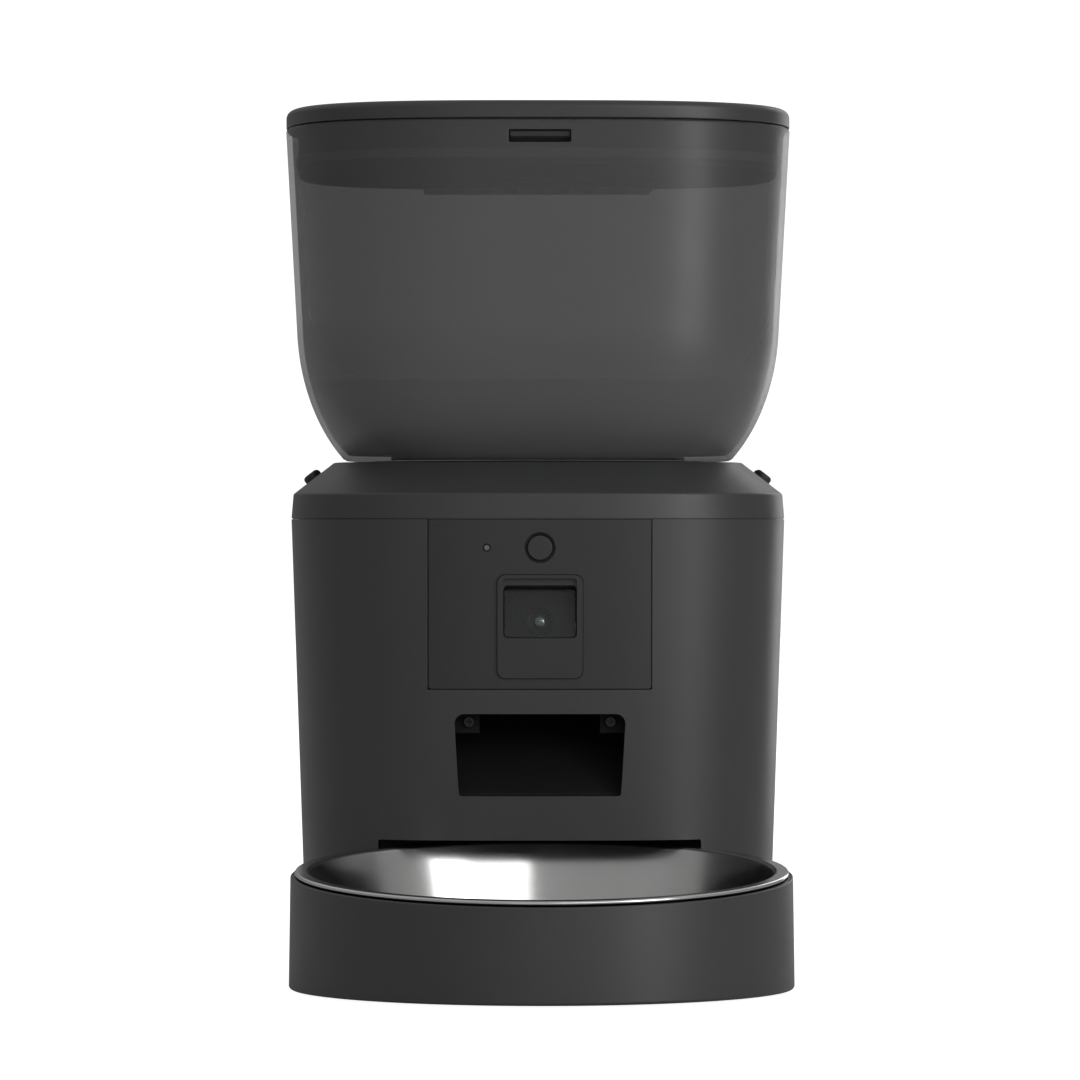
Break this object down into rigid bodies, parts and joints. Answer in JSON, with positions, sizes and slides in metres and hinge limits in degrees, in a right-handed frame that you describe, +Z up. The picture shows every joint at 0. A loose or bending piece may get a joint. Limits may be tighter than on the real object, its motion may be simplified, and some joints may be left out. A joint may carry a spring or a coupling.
{
  "type": "automatic pet feeder",
  "caption": "Motorised dry food feeder: smoked tank with hinged lid on a charcoal base with camera panel, outlet chute and a pull-out tray with a steel bowl.",
  "frame": {"origin": "on the floor, at the centre of the feeder's footprint", "axes": "+Z up, the tray and outlet face -Y, +X is on the right seen from the front"},
  "size_m": [0.1922, 0.341, 0.325],
  "materials": {
    "shell_plastic": "fine moulded texture, charcoal",
    "panel_plastic": "smooth satin, charcoal",
    "smoked_plastic": "smoked, see-through, satin",
    "window_plastic": "polished, dark tinted",
    "lens_glass": "polished lens in a black barrel",
    "inner_plastic": "plain moulded, black",
    "bowl_steel": "polished inside, satin bead",
    "plain_steel": "plain zinc plated",
    "cell_jacket": "plain printed jacket",
    "rubber": "soft matt",
    "silicone": "translucent grey, soft",
    "white_plastic": "natural moulded",
    "circuit_board": "green solder mask",
    "brass": "machined",
    "bag_fabric": "non-woven sachet"
  },
  "bodies": {
    "base": {"housing_shell": "shell_plastic", "top_cover": "shell_plastic", "front_panel": "panel_plastic", "camera_bezel": "panel_plastic", "camera_window": "window_plastic", "camera_lens": "lens_glass", "tray_dock": "inner_plastic", "base_plate": "inner_plastic", "outlet_chute": "inner_plastic", "gearbox_base": "inner_plastic", "gearbox_cover": "inner_plastic", "battery_box": "inner_plastic", "speaker": "inner_plastic", "power_socket": "inner_plastic", "button_switch": "inner_plastic", "release_spring_left": "plain_steel", "release_spring_right": "plain_steel", "contact_spring_1": "plain_steel", "contact_spring_2": "plain_steel", "contact_spring_3": "plain_steel", "chute_screw_left": "plain_steel", "chute_screw_right": "plain_steel", "gear_motor": "plain_steel", "battery_1": "cell_jacket", "battery_2": "cell_jacket", "battery_3": "cell_jacket", "foot_front_left": "rubber", "foot_front_right": "rubber", "foot_rear_left": "rubber", "foot_rear_right": "rubber", "status_led": "white_plastic", "control_board": "circuit_board", "main_board": "circuit_board"},
    "battery_door": {"battery_door": "inner_plastic"},
    "release_button_left": {"release_button_left": "shell_plastic"},
    "release_button_right": {"release_button_right": "shell_plastic"},
    "feed_button": {"feed_button": "panel_plastic"},
    "drive_gear": {"drive_gear": "white_plastic"},
    "motor_pinion": {"motor_pinion": "brass"},
    "tank": {"food_tank": "smoked_plastic", "tank_funnel": "white_plastic", "rotor_chamber": "inner_plastic", "wiper": "silicone", "hinge_pin": "plain_steel"},
    "rotor": {"rotor": "white_plastic"},
    "lid": {"lid_shell": "shell_plastic", "lid_liner": "shell_plastic", "lid_seal": "silicone", "desiccant_box": "inner_plastic", "desiccant_cover": "inner_plastic", "desiccant_bag": "bag_fabric", "latch_spring": "plain_steel"},
    "lid_latch": {"lid_latch": "shell_plastic"},
    "tray": {"bowl_tray": "shell_plastic", "tray_pad_1": "rubber", "tray_pad_2": "rubber", "tray_pad_3": "rubber"},
    "bowl": {"steel_bowl": "bowl_steel"}
  },
  "joints": [
    {"name": "tank_lift", "type": "slide", "parent": "base", "child": "tank", "axis": [0, 0, 1], "range_m": [0, 0.12]},
    {"name": "lid_hinge", "type": "hinge", "parent": "tank", "child": "lid", "pos_m": [0, 0.1679, 0.3182], "axis": [-1, 0, 0], "range_deg": [0, 100]},
    {"name": "lid_latch_press", "type": "slide", "parent": "lid", "child": "lid_latch", "axis": [0, 1, 0], "range_m": [0, 0.002], "stiffness_N_per_m": 400},
    {"name": "release_left_press", "type": "slide", "parent": "base", "child": "release_button_left", "axis": [0.6122, 0, -0.7907], "range_m": [0, 0.0022], "stiffness_N_per_m": 600},
    {"name": "release_right_press", "type": "slide", "parent": "base", "child": "release_button_right", "axis": [-0.6122, 0, -0.7907], "range_m": [0, 0.0022], "stiffness_N_per_m": 600},
    {"name": "feed_button_press", "type": "slide", "parent": "base", "child": "feed_button", "axis": [0, 1, 0], "range_m": [0, 0.0012], "stiffness_N_per_m": 500},
    {"name": "tray_slide", "type": "slide", "parent": "base", "child": "tray", "axis": [0, -1, 0], "range_m": [0, 0.12]},
    {"name": "bowl_turn", "type": "hinge", "parent": "tray", "child": "bowl", "pos_m": [0, -0.0792, 0.0418], "axis": [0, -0.0715, 0.9974], "continuous": true},
    {"name": "drive_gear_spin", "type": "hinge", "parent": "base", "child": "drive_gear", "pos_m": [0, 0.0713, 0.111], "axis": [0, 0, 1], "continuous": true},
    {"name": "motor_pinion_spin", "type": "hinge", "parent": "base", "child": "motor_pinion", "pos_m": [0, 0.0923, 0.111], "axis": [0, 0, 1], "continuous": true},
    {"name": "rotor_spin", "type": "hinge", "parent": "tank", "child": "rotor", "pos_m": [0, 0.0713, 0.16], "axis": [0, 0, 1], "continuous": true},
    {"name": "battery_door_slide", "type": "slide", "parent": "base", "child": "battery_door", "axis": [0, 1, 0], "range_m": [0, 0.006]}
  ],
  "couplings": [
    {"joint": "drive_gear_spin", "follows": "rotor_spin", "ratio": 1},
    {"joint": "motor_pinion_spin", "follows": "rotor_spin", "ratio": -2.5}
  ]
}
